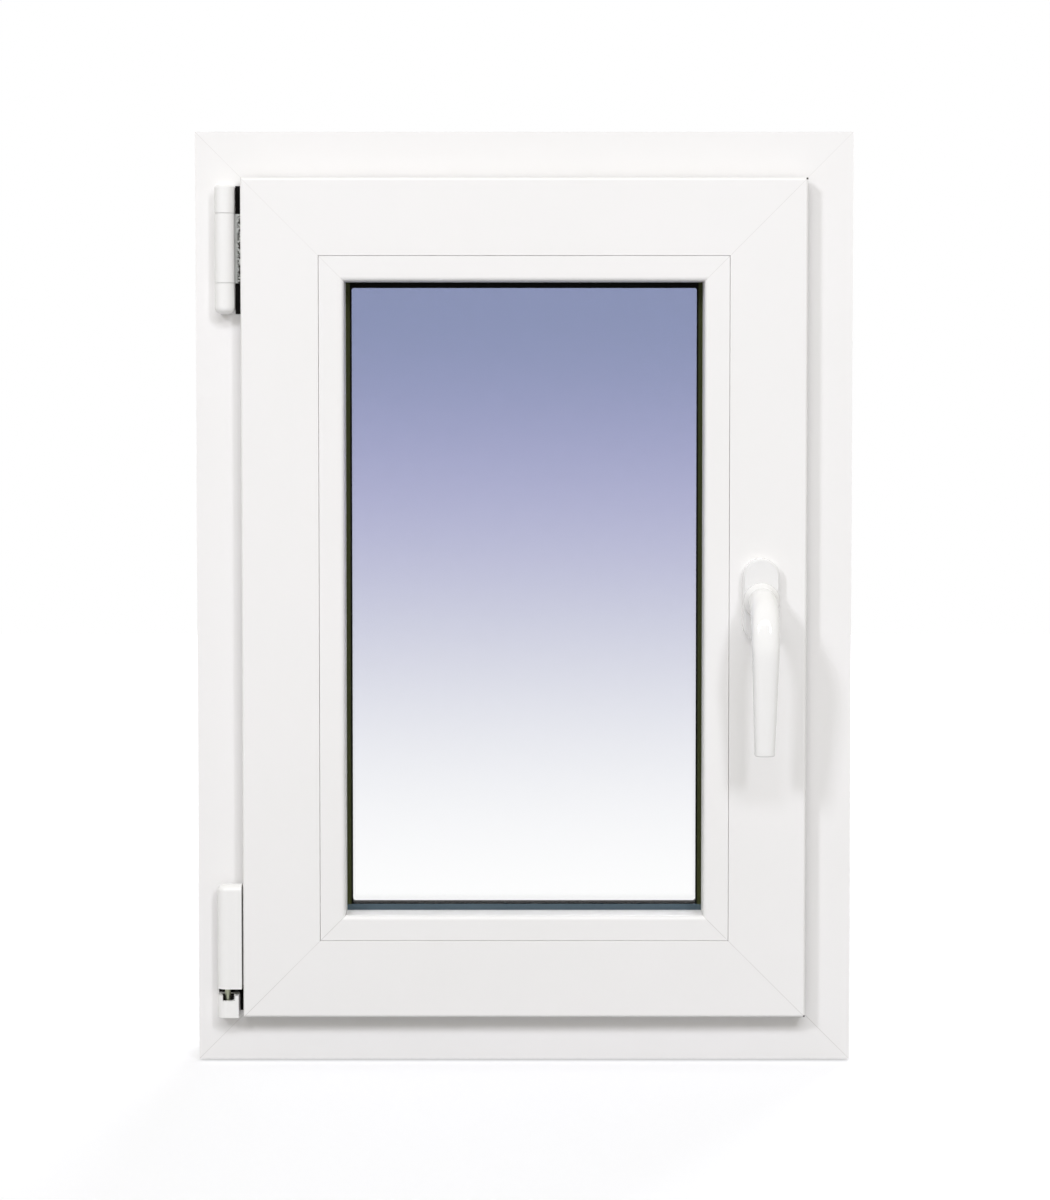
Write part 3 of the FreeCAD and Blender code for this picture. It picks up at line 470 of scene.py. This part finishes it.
SCREW_RADIUS = 3.4 * MM
SCREW_HEIGHT = 1.2 * MM
SCREW_SIDES = 32
SCREW_SHARP = math.radians(25)
SCREW_TOP = 0.72  # this and the recess are shares of the radius
RECESS_LONG = 1.1
RECESS_WIDE = 0.24


def screw_tree():
    """Cross-head screws on points: a domed head with its recess cut out, turned to face one way."""
    tree = bpy.data.node_groups.new("screw_heads", "GeometryNodeTree")
    for name, kind in (("Points", "Geometry"), ("Radius", "Float"), ("Height", "Float"),
                       ("Facing", "Vector"), ("Finish", "Material")):
        tree.interface.new_socket(name, in_out="INPUT", socket_type="NodeSocket" + kind)
    tree.interface.new_socket("Heads", in_out="OUTPUT", socket_type="NodeSocketGeometry")

    def add(kind, settings, **sockets):
        made = tree.nodes.new(kind)
        for key, value in settings.items():
            setattr(made, key, value)
        for key, value in sockets.items():
            socket = made.inputs[key.replace("_", " ")]
            if isinstance(value, bpy.types.NodeSocket):
                tree.links.new(value, socket)
            else:
                socket.default_value = value
        return made

    given = tree.nodes.new("NodeGroupInput").outputs
    head = add("GeometryNodeMeshCone", {}, Vertices=SCREW_SIDES, Side_Segments=1,
               Radius_Bottom=given["Radius"], Depth=given["Height"])
    narrow = add("ShaderNodeMath", {"operation": "MULTIPLY"})
    narrow.inputs[1].default_value = SCREW_TOP
    tree.links.new(given["Radius"], narrow.inputs[0])
    tree.links.new(narrow.outputs[0], head.inputs["Radius Top"])
    cut = add("GeometryNodeMeshBoolean", {"operation": "DIFFERENCE", "solver": "EXACT"})
    tree.links.new(head.outputs["Mesh"], cut.inputs["Mesh 1"])
    for long, wide in ((RECESS_LONG, RECESS_WIDE), (RECESS_WIDE, RECESS_LONG)):
        size = add("ShaderNodeCombineXYZ", {})
        for key, share in (("X", long), ("Y", wide)):
            part = add("ShaderNodeMath", {"operation": "MULTIPLY"})
            part.inputs[1].default_value = share
            tree.links.new(given["Radius"], part.inputs[0])
            tree.links.new(part.outputs[0], size.inputs[key])
        tree.links.new(given["Height"], size.inputs["Z"])
        bar = add("GeometryNodeMeshCube", {})
        tree.links.new(size.outputs[0], bar.inputs["Size"])
        lift = add("ShaderNodeCombineXYZ", {})
        tree.links.new(given["Height"], lift.inputs["Z"])
        move = add("GeometryNodeTransform", {})
        tree.links.new(bar.outputs["Mesh"], move.inputs["Geometry"])
        tree.links.new(lift.outputs[0], move.inputs["Translation"])
        tree.links.new(move.outputs[0], cut.inputs["Mesh 2"])
    aim = add("FunctionNodeAlignRotationToVector", {"axis": "Z"}, Vector=given["Facing"])
    spread = add("GeometryNodeInstanceOnPoints", {}, Points=given["Points"], Instance=cut.outputs["Mesh"],
                 Rotation=aim.outputs["Rotation"])
    real = add("GeometryNodeRealizeInstances", {}, Geometry=spread.outputs[0])
    dressed = add("GeometryNodeSetMaterial", {}, Geometry=real.outputs[0], Material=given["Finish"])
    tree.links.new(dressed.outputs[0], tree.nodes.new("NodeGroupOutput").inputs["Heads"])
    return tree


SCREWS = screw_tree()


def screws(name, body, facing, places):
    """A row of screws at places, on a face that looks the way facing points."""
    seed = bpy.data.meshes.new(name)
    seed.from_pydata(places, [], [])
    item = enter(name, seed)
    modifier = item.modifiers.new("heads", "NODES")
    modifier.node_group = SCREWS
    values = {"Radius": SCREW_RADIUS, "Height": SCREW_HEIGHT, "Facing": facing, "Finish": STEEL}
    for socket in SCREWS.interface.items_tree:
        if socket.name in values and socket.in_out == "INPUT":
            modifier[socket.identifier] = values[socket.name]
    graph = bpy.context.evaluated_depsgraph_get()
    mesh = bpy.data.meshes.new_from_object(item.evaluated_get(graph))
    bpy.data.objects.remove(item)
    mesh.name = name
    mesh.shade_smooth()
    mesh.set_sharp_from_angle(angle=SCREW_SHARP)
    add_piece(name, mesh, body)


# where the screws sit, as shares of the length of the piece that they hold
FACEPLATE_SCREWS = (0.03, 0.27, 0.42, 0.58, 0.73, 0.97)
GUIDE_SCREWS = (0.06, 0.36, 0.94)
STRIKER_SCREWS = (0.2, 0.8)
HINGE_SCREWS = (0.15, 0.5, 0.85)
STRIKER_LONG = 38 * MM
FLANGE_THICK = 2 * MM
FLANGE_INSET = 8 * MM


def along(low, high, shares):
    """Places between low and high."""
    return [low + (high - low) * share for share in shares]


def fixings():
    """Screws of the lock gear, guide, strikers and corner hinge, seen when the sash opens."""
    low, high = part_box("lock_faceplate")
    gear = (low[1] + high[1]) / 2
    screws("faceplate_screws", "sash", (1, 0, 0),
           [(high[0], gear, z) for z in along(low[2], high[2], FACEPLATE_SCREWS)])
    low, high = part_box("stay_guide")
    screws("guide_screws", "sash", (0, 0, 1),
           [(x, gear, high[2]) for x in along(low[0], high[0], GUIDE_SCREWS)])
    low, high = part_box("strikers")
    starts = (low[2], high[2] - STRIKER_LONG)
    ends = [start + share * STRIKER_LONG for start in starts for share in STRIKER_SCREWS]
    screws("striker_screws", "frame", (-1, 0, 0), [(low[0], (low[1] + high[1]) / 2, z) for z in ends])
    low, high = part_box("corner_hinge")
    flange = high[0] - FLANGE_THICK
    screws("hinge_screws", "sash", (-1, 0, 0),
           [(flange, high[1] - FLANGE_INSET, z) for z in along(low[2], high[2], HINGE_SCREWS)])


lever()
fixings()


# camera, floor and light

SENSOR = 24.0
FLOOR_REACH = 4.0
FLOOR_DROP = 0.002
FLOOR_BASE = (0.5, 0.5, 0.52)
FLOOR_LIFT = 0.8  # light added for the eye, less near the window so that its shadow shows
NEAR_LESS = 0.25
NEAR = 0.5
NEAR_SOFT = 1.4
WARM = (1.0, 0.97, 0.80)
COOL = (0.995, 1.005, 1.075)
SURROUND = 0.38
THROUGH_GLASS = ("Is Transmission Ray", "Is Glossy Ray")
LAMPS = (  # name, place from the frame's middle, width, height, watts
    ("left_softbox", (-2.9, -4.12, 2.85), 0.65, 1.05, 82.0),
    ("right_softbox", (1.88, -4.12, 2.6), 0.52, 0.95, 47.0),
    ("top_softbox", (0.0, -6.25, 5.6), 5.6, 1.1, 206.0),
    ("back_softbox", (1.2, 4.5, 3.0), 2.5, 2.0, 175.0),
)


def camera():
    """Looks a little down on the frame's middle; the rest of its height is taken up by shift."""
    data = bpy.data.cameras.new("camera")
    data.sensor_fit = "VERTICAL"
    data.sensor_height = SENSOR
    data.sensor_width = SENSOR
    to_middle = math.hypot(CAMERA_AWAY, CAMERA_ABOVE_MIDDLE)
    off_axis = math.atan2(CAMERA_ABOVE_MIDDLE, CAMERA_AWAY) - CAMERA_DOWN
    depth = to_middle * math.cos(off_axis)
    low = to_middle * math.sin(off_axis) * PIXELS_PER_MM / MM
    data.lens = SENSOR * depth / (PHOTO_HIGH / PIXELS_PER_MM * MM)
    data.shift_y = -(low + PHOTO_HIGH / 2 - FRAME_MIDDLE[1]) / PHOTO_HIGH
    data.shift_x = (PHOTO_WIDE / 2 - FRAME_MIDDLE[0]) / PHOTO_HIGH
    item = enter("camera", data)
    item.location = (0.0, ROOM_FACE - CAMERA_AWAY, MID_HEIGHT + CAMERA_ABOVE_MIDDLE)
    item.rotation_euler = (math.radians(90) - CAMERA_DOWN, 0.0, 0.0)
    bpy.context.scene.camera = item


def looked_at(tree, kinds):
    """1 for rays of the given kinds, as Light Path names them."""
    path = tree.nodes.new("ShaderNodeLightPath")
    seen = path.outputs[kinds[0]]
    for kind in kinds[1:]:
        either = tree.nodes.new("ShaderNodeMath")
        either.operation = "MAXIMUM"
        tree.links.new(seen, either.inputs[0])
        tree.links.new(path.outputs[kind], either.inputs[1])
        seen = either.outputs[0]
    return seen


def show_instead(tree, seen, shade, other):
    """The shade other where seen is 1, else shade."""
    mix = tree.nodes.new("ShaderNodeMixShader")
    for socket, value in zip(mix.inputs, (seen, shade, other)):
        tree.links.new(value, socket)
    return mix.outputs[0]


def glow(tree, kind, strength):
    """A plain white shade of the given strength."""
    white = tree.nodes.new(kind)
    white.inputs["Color"].default_value = (*WHITE, 1.0)
    if isinstance(strength, Number):
        tree.links.new(strength.socket, white.inputs["Strength"])
    else:
        white.inputs["Strength"].default_value = strength
    return white.outputs[0]


def floor():
    """A pale floor: white to the eye, with the window's soft shadow left on it."""
    mesh = bpy.data.meshes.new("floor")
    far = FLOOR_REACH
    mesh.from_pydata([(-far, -far, 0), (far, -far, 0), (far, far, 0), (-far, far, 0)], [], [(0, 1, 2, 3)])
    mesh.transform(Matrix.Translation((0, 0, -FLOOR_DROP)))
    item = enter("floor", mesh)
    f = Finish("floor_white", Base_Color=FLOOR_BASE, Roughness=0.9, Specular_IOR_Level=0.0)
    tree = f.tree
    lifted = tree.nodes.new("ShaderNodeAddShader")
    tree.links.new(f.shader.outputs[0], lifted.inputs[0])
    away = f.node("ShaderNodeVectorMath", {"operation": "LENGTH"}, {0: f.place}, "Value")
    lift = FLOOR_LIFT - NEAR_LESS * away.below(NEAR, NEAR_SOFT)
    tree.links.new(glow(tree, "ShaderNodeEmission", lift), lifted.inputs[1])
    shade = show_instead(tree, looked_at(tree, ["Is Camera Ray"]), f.shader.outputs[0], lifted.outputs[0])
    white = glow(tree, "ShaderNodeEmission", 1.0)
    shade = show_instead(tree, looked_at(tree, THROUGH_GLASS), shade, white)
    tree.links.new(shade, tree.nodes["Material Output"].inputs["Surface"])
    mesh.materials.append(f.material)


def soft_light(name, place, aim, wide, high, watts):
    """A lamp as wide and high as a soft box, turned towards aim."""
    data = bpy.data.lights.new(name, "AREA")
    data.shape = "RECTANGLE"
    data.size = wide
    data.size_y = high
    data.energy = watts
    data.color = COOL
    item = enter(name, data)
    item.location = place
    item.rotation_euler = (aim - place).to_track_quat("-Z", "Y").to_euler()


def light():
    """Soft lamps above left and right, above the camera and behind, and a dim warm surround."""
    scene = bpy.context.scene
    scene.world = bpy.data.worlds.new("studio")
    scene.world.use_nodes = True
    tree = scene.world.node_tree
    surround = tree.nodes["Background"]
    surround.inputs["Color"].default_value = (*WARM, 1.0)
    surround.inputs["Strength"].default_value = SURROUND
    white = glow(tree, "ShaderNodeBackground", 1.0)
    seen = looked_at(tree, ("Is Camera Ray",) + THROUGH_GLASS)
    shade = show_instead(tree, seen, surround.outputs[0], white)
    tree.links.new(shade, tree.nodes["World Output"].inputs["Surface"])
    middle = Vector((0.0, ROOM_FACE, MID_HEIGHT))
    for name, place, wide, high, watts in LAMPS:
        soft_light(name, middle + Vector(place), middle, wide, high, watts)


bpy.context.scene.view_settings.view_transform = "Standard"
camera()
floor()
light()
